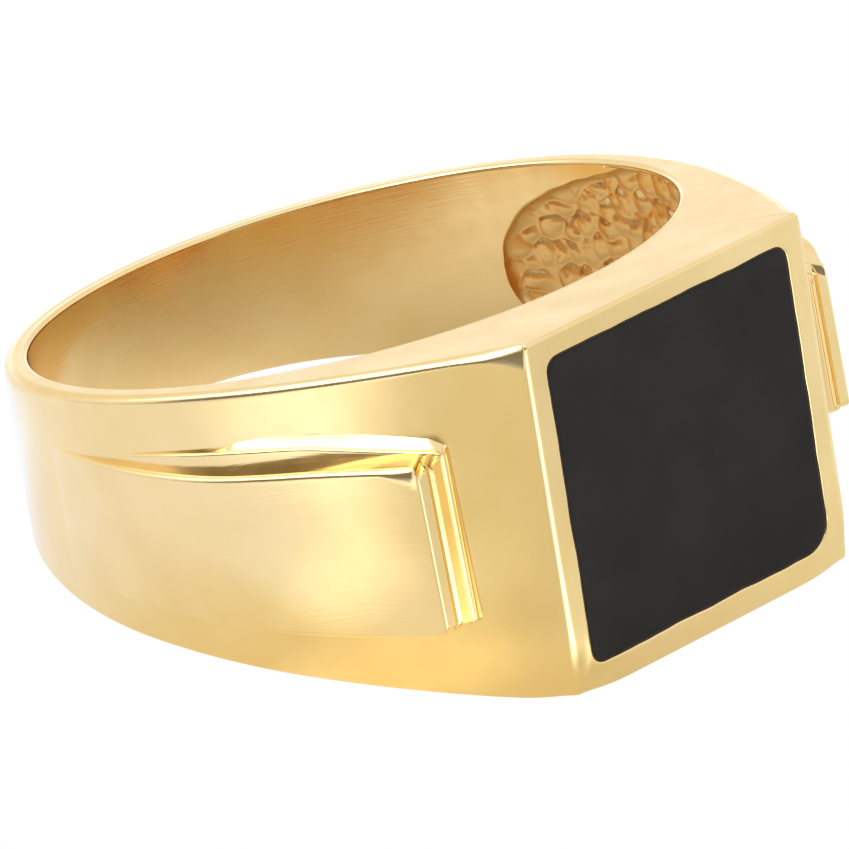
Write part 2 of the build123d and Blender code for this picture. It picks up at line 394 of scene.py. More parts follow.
def block_loop(rows, columns):
    """The border of a rows by columns grid as (row, column) pairs, once round."""
    top = [(r, 0) for r in range(rows - 1)]
    right = [(rows - 1, c) for c in range(columns - 1)]
    bottom = [(r, columns - 1) for r in range(rows - 1, 0, -1)]
    left = [(0, c) for c in range(columns - 1, 0, -1)]
    return np.array(top + right + bottom + left)


def coons(loop, rows, columns):
    """A rows by columns grid of points inside a closed loop given in block_loop order."""
    r, c = rows - 1, columns - 1
    closed = np.vstack([loop, loop[:1]])
    top, right = closed[: r + 1], closed[r : r + c + 1]
    bottom, left = closed[r + c : 2 * r + c + 1][::-1], closed[2 * r + c :][::-1]
    u = np.linspace(0, 1, rows)[:, None, None]
    v = np.linspace(0, 1, columns)[None, :, None]
    sides = (1 - v) * top[:, None] + v * bottom[:, None] + (1 - u) * left[None] + u * right[None]
    corners = ((1 - u) * (1 - v) * top[0] + u * (1 - v) * top[-1]
               + (1 - u) * v * bottom[0] + u * v * bottom[-1])
    return sides - corners


def fill(build, loop_index, grid_points, flow=None):
    """Puts a grid of new points inside an existing loop of vertices."""
    rows, columns = grid_points.shape[:2]
    index = np.zeros((rows, columns), int)
    border = block_loop(rows, columns)
    index[border[:, 0], border[:, 1]] = loop_index
    inner = grid_points[1:-1, 1:-1]
    inner_flow = None if flow is None else flow[1:-1, 1:-1]
    index[1:-1, 1:-1] = build.add(inner, inner_flow)
    build.sheet(index)


def flow_over(grid, s):
    """Flow coordinate of a grid of stations by rows: mm along the piece and mm across it."""
    steps = np.linalg.norm(np.diff(grid, axis=1), axis=2)
    across = np.concatenate([np.zeros((len(grid), 1)), np.cumsum(steps, axis=1)], 1)
    along = np.repeat(s[:, None], grid.shape[1], 1)
    return np.stack([along, across, np.zeros_like(across)], -1)


def quarter(count):
    """Angles over a quarter turn."""
    return np.linspace(0, math.pi / 2, count)


def noise_at(points, scale, seed):
    """Smooth noise, about -1 to 1, at each point."""
    shift = Vector((seed * 7.31, seed * 3.17, seed * 5.71))
    flat = np.asarray(points, float).reshape(-1, 3)
    values = [noise.noise(Vector(p) / scale + shift) for p in flat]
    return np.array(values).reshape(np.shape(points)[:-1])


# ---- ring body ----
def section_fractions(edge_lines, count):
    """0 to 1 with extra lines close to both ends, so that rounded edges shade cleanly."""
    inner = np.linspace(0, 1, count)[1:-1]
    return np.unique(np.r_[0, edge_lines, inner, 1 - np.array(edge_lines), 1])


def body_sections(outline):
    """Cross-sections of the ring at each station of its outline: an array of 3-D points."""
    normals = outward_normals(outline, closed=True)
    angle = np.arctan2(outline[:, 0], outline[:, 1])
    back = 0.5 + 0.5 * np.cos(angle)
    edge = EDGE_AT_HEAD + (EDGE_AT_BACK - EDGE_AT_HEAD) * back**1.5
    edge *= 1 - CRISP_SHARE * np.clip((-outline[:, 1] - CRISP_FROM) / CRISP_LENGTH, 0, 1)
    radial = np.column_stack([np.sin(angle), np.cos(angle)])
    bore = BORE_RADIUS * radial

    def rounding(at, out, radius, sign, drop=None, count=9):
        """The rounded edge at a wall, this wide and this far down. out points from the metal."""
        drop = radius if drop is None else drop
        taper = TAPER if sign > 0 else LOWER_TAPER
        slope = -taper * out[:, 1]
        last = math.pi / 2 - np.arctan(slope)
        centre = at - out * radius[:, None]
        top = (half_width(at[:, 1], taper) - slope * radius
               - radius * (np.sqrt(1 + slope**2) - np.sin(last)))
        rows = []
        for k in np.linspace(0, 1, count):
            xy = centre + out * (radius * np.cos(k * last))[:, None]
            z = sign * (top - drop * (np.sin(last) - np.sin(k * last)))
            rows.append(np.column_stack([xy, z]))
        return np.stack(rows, 1)

    bore_edge = np.full(len(angle), BORE_EDGE)
    low_edge = np.full(len(angle), LOWER_EDGE)
    to_head = np.clip((-outline[:, 1] - WORN_FROM) / (FACE_DISTANCE - WORN_FROM), 0, 1)
    on_shoulder = np.clip((0.99 + normals[:, 1]) / 0.30, 0, 1)  # 0 on the face, else 1
    drop = edge + (WORN_CORNER - edge) * to_head**1.5 * on_shoulder
    top_out = rounding(outline, normals, edge, 1, drop)
    low_out = rounding(outline, normals, low_edge, -1)
    facet = np.interp(-outline[:, 1], *np.array(WORN_FACET).T) * on_shoulder

    def worn(points):
        """The wall's points, worn back to the facet near the upper side."""
        under = half_width(outline[:, 1])[:, None] - points[..., 2]
        depth = np.clip(facet[:, None] - under, 0, facet[:, None])
        back_by = FACET_SLOPE * depth**2 / (depth + FACET_SOFT)
        moved = points.copy()
        moved[..., :2] -= normals[:, None] * back_by[..., None]
        share = depth / np.maximum(facet, 0.01)[:, None]
        moved[..., 2] += TAPER * normals[:, 1][:, None] * back_by * share
        return moved

    top_in = rounding(bore, -radial, bore_edge, 1)
    low_in = rounding(bore, -radial, bore_edge, -1)

    def between(a, b, t):
        return a[:, None] * (1 - t)[None, :, None] + b[:, None] * t[None, :, None]

    wall = section_fractions([0.004, 0.012], 100)
    side = section_fractions([0.02, 0.06], 14)
    worn_top = worn(top_out)
    bands = [
        between(top_in[:, 0], low_in[:, 0], wall),
        low_in[:, 1:],
        between(low_in[:, -1], low_out[:, -1], side)[:, 1:],
        low_out[:, ::-1][:, 1:],
        worn(between(low_out[:, 0], top_out[:, 0], wall)[:, 1:]),
        worn_top[:, 1:],
        between(worn_top[:, -1], top_in[:, -1], side)[:, 1:],
        top_in[:, ::-1][:, 1:-1],
    ]
    marks = np.cumsum([0] + [b.shape[1] for b in bands])
    sections = np.concatenate(bands, 1)
    inwards, backwards, upwards = WORN_LOWER
    lower = -half_width(-FACE_DISTANCE, LOWER_TAPER)
    for side in (1, -1):
        corner = (side * FACE_HALF_WIDTH + HEAD_SHIFT, -FACE_DISTANCE, lower)
        near = np.exp(-(np.linalg.norm(sections - corner, axis=2) / WORN_REACH) ** 2)
        sections = sections + near[..., None] * (-side * inwards, backwards, upwards)
    return sections, marks, np.degrees(angle) % 360


def recess_loop(rows, columns):
    """The recess's outline in the face as (x, z), in step with the border of the face's grid."""
    w, h = RECESS_WIDTH / 2, RECESS_HEIGHT / 2
    q = quarter(16)
    corner = []
    for (sx, sz, start), r in zip(((1, 1, 0), (-1, 1, 1), (-1, -1, 2), (1, -1, 3)), RECESS_CORNERS):
        a = q + start * math.pi / 2
        x, z = sx * (w - r) + r * np.cos(a), sz * (h - r) + r * np.sin(a)
        corner.append(np.column_stack([x, z]))
    loop = np.vstack(corner + [corner[0][:1]])
    s = length_along(loop)
    middle = [s[8 + 16 * k] for k in range(4)]
    middle.append(s[-1] + middle[0])
    long_loop = np.vstack([loop, loop[1:]])
    sides = []
    for k, count in enumerate((rows, columns, rows, columns)):
        t = np.linspace(0, 1, count)[:-1]
        sides.append(at_lengths(long_loop, middle[k] + t * (middle[k + 1] - middle[k])))
    return np.vstack(sides) + (HEAD_SHIFT, 0)


def recess_edge(rows, columns):
    """The recess's wavy, hand-cut edge as (x, z), and its outward normals."""
    xz = recess_loop(rows, columns)
    out = loop_normals(xz)
    rim = in_face(xz, 0.0)
    wave = HAND_CUT * (noise_at(rim, 1.4, 1) + 0.5 * noise_at(rim, 0.5, 2))
    return xz + out * wave[:, None], out


def in_face(xz, y):
    """Points of a plane parallel to the face."""
    return np.column_stack([xz[:, 0], np.full(len(xz), y), xz[:, 1]])


def cut_recess(build, face_index, face_points):
    """Joins the face's border to the stone's recess and closes the recess."""
    rows, columns = face_index.shape
    border = block_loop(rows, columns)
    border_points = face_points[border[:, 0], border[:, 1]]
    edge, out = recess_edge(rows, columns)
    rim, out = in_face(edge, -FACE_DISTANCE), in_face(out, 0.0)
    lip_start = rim + out * LIP_EDGE
    rings = [border_points * (1 - t) + lip_start * t for t in (0.12, 0.3, 0.5, 0.7, 0.9, 1.0)]
    for a in quarter(5)[1:]:
        down = (0, LIP_EDGE * (1 - math.cos(a)), 0)
        rings.append(lip_start - out * (LIP_EDGE * math.sin(a)) + down)
    rings += [rim + (0, depth, 0) for depth in (0.15, 0.5, 1.0, RECESS_DEPTH)]
    previous = face_index[border[:, 0], border[:, 1]]
    for points in rings:
        ring = build.add(points)
        build.bridge(previous, ring)
        previous = ring
    fill(build, previous, coons(rings[-1], rows, columns))


def hollow_rim_loop(rows, columns):
    """The hollow's rim as (degrees, z), in step with the border of its block."""
    edge = smooth_curve(HOLLOW_RIM, 400)
    s = length_along(edge * (math.radians(1) * BORE_RADIUS, 1))

    def upper(start, end, count):
        """Points of the rim's upper half between two lengths from its tip."""
        lengths = np.interp(np.linspace(start, end, count), s, length_along(edge))
        return at_lengths(edge, lengths)

    half = columns // 2
    top = upper(HOLLOW_NOSE, s[-1], rows)
    low = top * (1, -1)
    head = line(top[-1], low[-1], columns)
    tip = np.vstack([
        upper(0, HOLLOW_NOSE, columns - half)[::-1],
        (upper(0, HOLLOW_NOSE, half + 1) * (1, -1))[1:],
    ])
    return np.vstack([top[:-1], head[:-1], low[::-1][:-1], tip[::-1][:-1]])


def carve_hollow(build, index, points, side):
    """Fills a block left open in the bore's wall with a nugget-textured hollow.

    Flat coordinates here are (mm round the bore from the back, z)."""
    rows, columns = index.shape
    border = block_loop(rows, columns)
    border_points = points[border[:, 0], border[:, 1]]
    around = hollow_rim_loop(rows, columns) * (math.radians(1) * BORE_RADIUS, 1)
    out = loop_normals(around)
    lobe = np.column_stack([around, np.full(len(around), 3.0 * side)])
    around = around + out * (HOLLOW_WAVE * noise_at(lobe, 0.9, 3))[:, None]

    def on_bore(flat, depth):
        a = flat[..., 0] / BORE_RADIUS
        r = BORE_RADIUS + depth
        return np.stack([side * r * np.sin(a), r * np.cos(a), flat[..., 1]], -1)

    def floor_depth(flat):
        return np.interp(np.degrees(flat[..., 0] / BORE_RADIUS), *np.array(HOLLOW_DEPTH, float).T)

    previous = index[border[:, 0], border[:, 1]]
    start_angle = np.unwrap(np.arctan2(side * border_points[:, 0], border_points[:, 1]))
    start = np.column_stack([start_angle * BORE_RADIUS, border_points[:, 2]])
    for t in (0.3, 0.6, 0.85, 0.95, 1.0):
        flat = start * (1 - t) + (around + out * HOLLOW_EDGE) * t
        ring = build.add(on_bore(flat, 0.0))
        build.bridge(previous, ring)
        previous = ring
    depth = floor_depth(around)
    for t in np.linspace(0, 1, 10)[1:]:
        a = t * math.pi / 2
        inset = HOLLOW_EDGE - (HOLLOW_EDGE + HOLLOW_WALL) * (1 - math.cos(a)) ** 0.8
        flat = around + out * inset
        drop = depth * math.sin(a) * (1 - 0.25 * (1 - t))
        points = on_bore(flat, drop - NUGGET_HEIGHT * t * nuggets(flat, side))
        ring = build.add(points, points + (0, 0, HOLLOW_MARK))
        build.bridge(previous, ring)
        previous = ring
    flat = coons(flat, rows, columns)
    points = on_bore(flat, floor_depth(flat) - NUGGET_HEIGHT * nuggets(flat, side))
    fill(build, previous, points, points + (0, 0, HOLLOW_MARK))


def nuggets(flat, side):
    """Height, about 0 to 1, of the lumpy nugget texture on the hollow's floor."""
    values = []
    for s, z in flat.reshape(-1, 2):
        p = Vector((s / NUGGET_SIZE, z / NUGGET_SIZE, 4.0 * side))
        bent = p + 0.35 * noise.noise_vector(p * 0.9)
        near = noise.voronoi(bent, distance_metric="DISTANCE")[0]
        lump = 1 - 1.1 * near[0] ** 2
        gap = min(1.0, (near[1] - near[0]) / 0.30)
        swell = 0.5 * noise.noise(p * 0.6 + Vector((9.0, 2.0, 0.0)))
        fine = 0.18 * noise.noise(p * 2.6)
        values.append(lump * (0.65 + 0.35 * gap) + swell + fine - 0.25)
    return np.array(values).reshape(flat.shape[:-1])


def make_ring_body():
    noise.seed_set(NUGGET_SEED)
    right_half = resampled(body_outline(1), *BODY_MESH)
    left_half = resampled(body_outline(-1), *BODY_MESH) * (-1, 1)
    outline = np.vstack([right_half, left_half[::-1][1:-1]])
    sections, marks, angles = body_sections(outline)
    count, width = sections.shape[:2]
    build = Build()
    index = build.add(sections, flow_over(sections, length_along(outline)))

    # the face: stations between the two rounded corners
    flat = np.nonzero(np.abs(outline[:, 1] + FACE_DISTANCE) < 1e-6)[0]
    face_rows = np.arange(flat.min(), flat.max() + 1)
    face_columns = np.arange(marks[4] - 1, marks[5])

    # the hollows: blocks of the bore's wall
    wall_columns = np.arange(2, marks[1] - 2)
    first, last = HOLLOW_BLOCK
    right = np.nonzero((angles > first) & (angles < last))[0]
    left = np.nonzero((angles < 360 - first) & (angles > 360 - last))[0]

    open_cells = np.zeros((count, width), bool)
    for rows, columns in ((face_rows, face_columns), (right, wall_columns), (left, wall_columns)):
        open_cells[np.ix_(rows[:-1], columns[:-1])] = True
    i, j = np.nonzero(~open_cells)
    i2, j2 = (i + 1) % count, (j + 1) % width
    build.faces.append(np.stack([index[i, j], index[i2, j], index[i2, j2], index[i, j2]], -1))

    face = np.ix_(face_rows, face_columns[::-1])
    cut_recess(build, index[face], sections[face])
    for rows, side in ((right, 1), (left[::-1], -1)):
        block = np.ix_(rows, wall_columns)
        carve_hollow(build, index[block], sections[block], side)
    return build.make("ring_body_gold")


# ---- step and strap ----
def step_outline():
    start = shank_point(STEP_START, PLATE_SINK)
    rise, way = arc(start, shank_direction(STEP_START), STEP_MIDDLE, 200)
    run, _ = arc(STEP_MIDDLE, way, (STEP_FOOT, -STEP_END), 200)
    return np.vstack([rise, run[1:]])


def strap_outline():
    start = shank_point(STRAP_START, PLATE_SINK)
    rise, way = arc(start, shank_direction(STRAP_START), STRAP_CROWN, 200)
    run, way = arc(STRAP_CROWN, way, STRAP_SHOULDER, 200)
    drop, _ = arc(STRAP_SHOULDER, way, (STRAP_FOOT, -STRAP_END), 200)
    return np.vstack([rise, run[1:], drop[1:]])


def outline_x(outline, y):
    """x of an outline, which runs from the back towards the head, at this y."""
    return np.interp(-np.asarray(y), -outline[:, 1], outline[:, 0])


def end_of_step(outline):
    """The step's end wall, square to the shoulder it stands on."""
    foot = outline[-1]
    way = unit(foot - outline[-3])
    inward = np.array([-abs(way[1]), abs(way[0])])
    return line(foot, foot + inward * (STEP_ROOT + PLATE_ROOT), 30)


def end_of_strap(outline, ground):
    """The strap's end wall, down to the step."""
    y = END_WALL[-1][1]
    foot = (outline_x(ground, y) - PLATE_ROOT, y + 0.04)
    corners = [outline[-1]] + END_WALL + [foot]
    runs = [line(a, b, 24)[:-1] for a, b in zip(corners, corners[1:])]
    return np.vstack(runs + [[foot]])


def corner_drop(y, end, radius):
    """How far a rounded corner, seen on the plate's face, takes its edge back near the end."""
    d = np.clip(y + end, 0, radius)
    return radius - np.sqrt(radius**2 - (radius - d) ** 2)


def height_at(line_of_heights, y):
    """Height of a plate's long edge at this y, smooth between the given heights."""
    table = smooth_curve(line_of_heights, 300)
    return np.interp(-y, table[:, 0], table[:, 1])


def plate_root(plan, s, corner_s, outline, ground, end):
    """The line inside the ground that each station of a plate's plan is tied to."""
    thick = outline[-1][0] - outline_x(ground, -end) + PLATE_ROOT
    lead = corner_s - thick
    y_lead = np.interp(lead, s, plan[:, 1])
    along = np.clip((s - lead) / (s[-1] - lead), 0, 1)
    y = np.where(s < lead, plan[:, 1], y_lead + (ROOT_SHORT - end - y_lead) * along)
    return np.column_stack([outline_x(ground, y) - PLATE_ROOT, y])


def make_plate(name, outline, end_run, ground, end, heights, slope, edges, mirror):
    """A plate that stands on a curved ground, with rounded edges."""
    corner, top_edge, low_edge, worn, upper_corner = edges
    plan = resampled(rounded(outline, end_run, corner), *PLATE_MESH)
    normals = outward_normals(plan)
    s = length_along(plan)
    corner_s = s[np.argmax(plan[:, 1] < 0.1 - end)]
    root = plate_root(plan, s, corner_s, outline, ground, end)

    top = height_at(heights[0], plan[:, 1]) - corner_drop(plan[:, 1], end, upper_corner)
    low = height_at(heights[1], plan[:, 1]) - corner_drop(plan[:, 1], end, LOWER_CORNER)
    root_top, root_low = height_at(heights[0], root[:, 1]), height_at(heights[1], root[:, 1])
    stand = np.clip(np.linalg.norm(plan - root, axis=1) - PLATE_ROOT, 0, None)
    bare_start = PLATE_ROOT / (stand + PLATE_ROOT)
    climb = height_at(slope, plan[:, 1])
    near_end = (np.clip(1 - (corner_s - s) / WORN_BEFORE, 0, 1)
                * np.clip(1 - (s - corner_s) / WORN_AFTER, 0, 1))
    on_end_wall = np.clip((s - corner_s + STRAP_EDGE) / STRAP_EDGE, 0, 1)
    rows = []

    def wall(inner_line, outer, inner, sign, fractions, climb):
        """Rows of the upper or lower side, from inside the ground out to the rounding."""
        for t in fractions:
            bare = np.clip((t - bare_start) / (1 - bare_start + 1e-9), 0, 1)
            z = inner * (1 - t) + outer * t + climb * (1 - bare) ** 1.15
            rows.append(np.column_stack([root * (1 - t) + inner_line * t, sign * z]))

    def bend(inner_line, outer, sign, wide, down, angles):
        """Rows round a long edge."""
        for a in angles:
            xy = inner_line + normals * (wide * math.sin(a))[:, None]
            rows.append(np.column_stack([xy, sign * (outer - down * (1 - math.cos(a)))]))

    def edge_size(size, wear):
        """Where the rounding starts, its width and how far down it runs."""
        wide = np.minimum(size, ROOT_SHARE * (stand + PLATE_ROOT))
        wide = wide + (np.minimum(wide, GROOVE_EDGE) - wide) * on_end_wall
        down = wide + np.clip(wear - wide, 0, None) * near_end**1.2
        return plan - normals * wide[:, None], wide, down

    top_inner, top_wide, top_down = edge_size(top_edge, worn)
    low_inner, low_wide, low_down = edge_size(low_edge, 0.0)
    side_fractions = section_fractions([0.04, 0.12], 18)
    wall(top_inner, top, root_top, 1, side_fractions, climb)
    bend(top_inner, top, 1, top_wide, top_down, quarter(9)[1:])
    for t in section_fractions([0.01, 0.035], 26)[1:]:
        rows.append(np.column_stack([plan, (top - top_down) * (1 - t) - (low - low_down) * t]))
    bend(low_inner, low, -1, low_wide, low_down, quarter(9)[::-1][1:])
    wall(low_inner, low, root_low, -1, side_fractions[::-1][1:], 0.0)

    grid = np.stack(rows, 1)
    lean = np.clip((-grid[..., 1] - LEAN_FROM) / LEAN_LENGTH, 0, 1)
    grid[..., 1] += END_LEAN * grid[..., 2] * lean**2
    build = Build()
    index = build.add(grid, flow_over(grid, s))
    build.sheet(np.column_stack([index, index[:, 0]]))
    cap(build, index[0])
    cap(build, index[-1])
    return build.make(name, mirror)


def cap(build, ring):
    """Closes the end of a tube whose section is the same above and below."""
    pairs = len(ring) // 2
    build.sheet(np.column_stack([ring[:pairs], ring[::-1][:pairs]]))


def make_shoulder(side, body):
    """Step and strap of one shoulder."""
    word = "right" if side > 0 else "left"
    mirror = side < 0
    up, down, upper_corner = RIGHT_STRAP if side > 0 else (0.0, 0.0, UPPER_CORNER)
    low, high = step_outline(), strap_outline()

    def raised(line_of_heights, by):
        return [(y, height + by) for y, height in line_of_heights]

    step = make_plate(
        f"step_gold_{word}", low, end_of_step(low), body, STEP_END,
        (raised(STEP_TOP, up), raised(STEP_LOW, down)), STEP_SLOPE,
        (STEP_CORNER, STEP_EDGE, STEP_EDGE, 0.0, UPPER_CORNER), mirror,
    )
    strap = make_plate(
        f"strap_gold_{word}", high, end_of_strap(high, body), body, STRAP_END,
        (raised(STRAP_TOP, up), raised(STRAP_LOW, down)), STRAP_SLOPE,
        (STRAP_EDGE, TOP_EDGE, STRAP_EDGE, WORN_END, upper_corner), mirror,
    )
    return step, strap, word


# ---- stone and cement ----
def recess_ring(inset, deep, rows, columns):
    """Points this far inside the recess's edge and this deep under the face."""
    edge, out = recess_edge(rows, columns)
    return in_face(edge - out * inset, deep - FACE_DISTANCE)


def recess_rings(build, profile, rows, columns):
    """Joined rings for (inset, depth) pairs, the last one closed. Returns the first one."""
    rings = [build.add(recess_ring(*level, rows, columns)) for level in profile]
    for outer, inner in zip(rings, rings[1:]):
        build.bridge(outer, inner)
    close_ring(build, rings[-1], profile[-1], rows, columns)
    return rings[0]


def close_ring(build, ring, level, rows, columns):
    """Closes a ring that was made at this (inset, depth)."""
    fill(build, ring, coons(recess_ring(*level, rows, columns), rows, columns))


def make_onyx():
    rows = columns = 61
    build = Build()
    depth = RECESS_DEPTH - CEMENT_BED
    edge = CEMENT_GAP + ONYX_EDGE
    profile = [(CEMENT_GAP, deep) for deep in (depth - ONYX_EDGE, 0.4, ONYX_EDGE * 1.5)]
    for a in quarter(6):
        profile.append((edge - ONYX_EDGE * math.cos(a), ONYX_EDGE * (1 - math.sin(a))))
    profile += [(edge + 0.05, 0.0), (edge + 0.15, 0.0)]
    first = recess_rings(build, profile, rows, columns)
    under = build.add(recess_ring(edge, depth, rows, columns))
    build.bridge(under, first)
    close_ring(build, under, (edge, depth), rows, columns)
    return build.make("onyx_stone")


def make_cement():
    rows = columns = 41
    build = Build()
    outer, inner = 2 * CEMENT_FIT, CEMENT_GAP - CEMENT_FIT
    profile = [
        (outer, RECESS_DEPTH - CEMENT_FIT), (outer, CEMENT_SINK), (inner, CEMENT_SINK),
        (inner, RECESS_DEPTH - CEMENT_BED + CEMENT_FIT),
    ]
    first = recess_rings(build, profile, rows, columns)
    close_ring(build, first, profile[0], rows, columns)
    return build.make("cement_bed")


# ---- materials ----
def node(tree, kind, inputs=None, **settings):
    n = tree.nodes.new(kind)
    for key, value in settings.items():
        setattr(n, key, value)
    for key, value in (inputs or {}).items():
        if isinstance(value, bpy.types.NodeSocket):
            tree.links.new(value, n.inputs[key])
        else:
            n.inputs[key].default_value = value
    return n


def ramp(tree, fac, stops):
    n = node(tree, "ShaderNodeValToRGB", {"Fac": fac})
    while len(n.color_ramp.elements) > 1:
        n.color_ramp.elements.remove(n.color_ramp.elements[-1])
    n.color_ramp.elements[0].position, n.color_ramp.elements[0].color = stops[0]
    for position, colour in stops[1:]:
        n.color_ramp.elements.new(position).color = colour
    return n.outputs["Color"]


def math_node(tree, operation, first, second=0.0):
    return node(tree, "ShaderNodeMath", {0: first, 1: second}, operation=operation).outputs["Value"]


def vector_node(tree, operation, first, second, output="Vector"):
    """The second value is a vector, or a number for SCALE."""
    key = "Scale" if operation == "SCALE" else 1
    inputs = {0: first, key: second}
    return node(tree, "ShaderNodeVectorMath", inputs, operation=operation).outputs[output]


def smooth_range(tree, value, low, high):
    """0 below low, 1 above high, smooth between."""
    n = node(tree, "ShaderNodeMapRange", {"Value": value, "From Min": low, "From Max": high},
             interpolation_type="SMOOTHSTEP")
    return n.outputs["Result"]


def mixed(tree, factor, first, second):
    n = node(tree, "ShaderNodeMix", data_type="RGBA")
    n.clamp_result = False
    for socket, value in zip((n.inputs[0], n.inputs[6], n.inputs[7]), (factor, first, second)):
        if isinstance(value, bpy.types.NodeSocket):
            tree.links.new(value, socket)
        else:
            socket.default_value = value
    return n.outputs[2]


def empty_tree(owner):
    """The node tree of a material or world, with nothing in it."""
    owner.use_nodes = True
    owner.node_tree.nodes.clear()
    return owner.node_tree


def new_material(name):
    material = bpy.data.materials.new(name)
    tree = empty_tree(material)
    output = node(tree, "ShaderNodeOutputMaterial")
    shader = node(tree, "ShaderNodeBsdfPrincipled")
    tree.links.new(shader.outputs["BSDF"], output.inputs["Surface"])
    return material, tree, shader


def gold_material(name, roughness):
    """14 carat yellow gold: hand polished, with faint satin lines and slight waviness. In the
    hollows it is as cast and rougher, and its colour is painted darker and redder as shade."""
    material, tree, shader = new_material(name)
    place = node(tree, "ShaderNodeNewGeometry").outputs["Position"]
    cloud = node(tree, "ShaderNodeTexNoise", {"Vector": place, "Scale": 420.0, "Detail": 3.0})
    polished = ramp(tree, cloud.outputs["Fac"], [
        (0.30, (0.90, 0.68, 0.33, 1)),
        (0.70, (0.95, 0.74, 0.39, 1)),
    ])
    flow = node(tree, "ShaderNodeAttribute", attribute_name="flow").outputs["Vector"]
    mark = node(tree, "ShaderNodeSeparateXYZ", {"Vector": flow}).outputs["Z"]
    as_cast_and_shade = smooth_range(tree, mark, 0.4 * HOLLOW_MARK, 0.6 * HOLLOW_MARK)
    # painted shade in the hollows: darker, redder gold colour
    tint = mixed(tree, as_cast_and_shade, polished, HOLLOW_SHADE_COLOUR)
    tree.links.new(tint, shader.inputs["Base Color"])
    shader.inputs["Metallic"].default_value = 1.0
    grain = node(tree, "ShaderNodeTexNoise", {"Vector": place, "Scale": 1500.0, "Detail": 4.0})
    rough = node(tree, "ShaderNodeMapRange", {
        "Value": grain.outputs["Fac"], "From Min": 0.3, "From Max": 0.7,
        "To Min": roughness * 0.75, "To Max": roughness * 1.25,
    })
    rougher = math_node(tree, "MULTIPLY", as_cast_and_shade, AS_CAST_ROUGHER)
    roughness_value = math_node(tree, "ADD", rough.outputs["Result"], rougher)
    tree.links.new(roughness_value, shader.inputs["Roughness"])
    stretched = vector_node(tree, "MULTIPLY", flow, (0.6, 14.0, 1.0))
    lines = node(tree, "ShaderNodeTexNoise", {"Vector": stretched, "Scale": 1.0, "Detail": 2.0})
    wave = node(tree, "ShaderNodeTexNoise", {"Vector": place, "Scale": 300.0, "Detail": 1.0})
    fine = node(tree, "ShaderNodeBump", {
        "Height": lines.outputs["Fac"], "Strength": 0.025, "Distance": 0.0001,
    })
    broad = node(tree, "ShaderNodeBump", {
        "Height": wave.outputs["Fac"], "Strength": 0.10, "Distance": 0.0003,
        "Normal": fine.outputs["Normal"],
    })
    tree.links.new(broad.outputs["Normal"], shader.inputs["Normal"])
    return material


def onyx_material():
    """Black onyx with a satin hand finish."""
    material, tree, shader = new_material("black_onyx")
    place = node(tree, "ShaderNodeNewGeometry").outputs["Position"]
    cloud = node(tree, "ShaderNodeTexNoise", {"Vector": place, "Scale": 350.0, "Detail": 4.0})
    tint = ramp(tree, cloud.outputs["Fac"], [
        (0.3, (0.016, 0.015, 0.015, 1)),
        (0.7, (0.023, 0.022, 0.021, 1)),
    ])
    tree.links.new(tint, shader.inputs["Base Color"])
    shader.inputs["Roughness"].default_value = 0.35
    shader.inputs["Specular IOR Level"].default_value = 0.12
    return material


def cement_material():
    """Dark brown jeweller's cement."""
    material, tree, shader = new_material("jewellers_cement")
    place = node(tree, "ShaderNodeNewGeometry").outputs["Position"]
    cloud = node(tree, "ShaderNodeTexNoise", {"Vector": place, "Scale": 2500.0, "Detail": 2.0})
    tint = ramp(tree, cloud.outputs["Fac"], [
        (0.3, (0.030, 0.018, 0.010, 1)),
        (0.7, (0.060, 0.035, 0.018, 1)),
    ])
    tree.links.new(tint, shader.inputs["Base Color"])
    shader.inputs["Roughness"].default_value = 0.8
    return material


# ---- stage ----
def heading(tree, vector):
    """0 to 1 once round the bore's axis: 0.5 in front of the face."""
    parts = node(tree, "ShaderNodeSeparateXYZ", {"Vector": vector}).outputs
    front = math_node(tree, "MULTIPLY", parts["Y"], -1.0)
    angle = math_node(tree, "ARCTAN2", parts["X"], front)
    return math_node(tree, "ADD", math_node(tree, "DIVIDE", angle, 2 * math.pi), 0.5)


def round_ramp(tree, factor, stops):
    """A ramp once round, from (degrees, colour) stops; colours may be brighter than 1."""
    top = max(max(colour) for _, colour in stops)
    scaled = [
        ((degrees + 180) / 360, tuple(c / top for c in colour) + (1,)) for degrees, colour in stops
    ]
    return vector_node(tree, "SCALE", ramp(tree, factor, scaled), top)


def make_floor():
    """Pale tabletop under the side the ring lies on."""
    size = FLOOR_SIZE * MM
    back = LOWER_TAPER * size
    drop = (HALF_WIDTH_AT_AXIS + FLOOR_GAP) * MM
    mesh = bpy.data.meshes.new("floor")
    corners = [(-size, -size, -drop - back), (size, -size, -drop - back),
               (size, size, -drop + back), (-size, size, -drop + back)]
    mesh.from_pydata(corners, [], [(0, 1, 2, 3)])
    floor = bpy.data.objects.new("floor", mesh)
    bpy.context.scene.collection.objects.link(floor)
    mesh.materials.append(table_material())


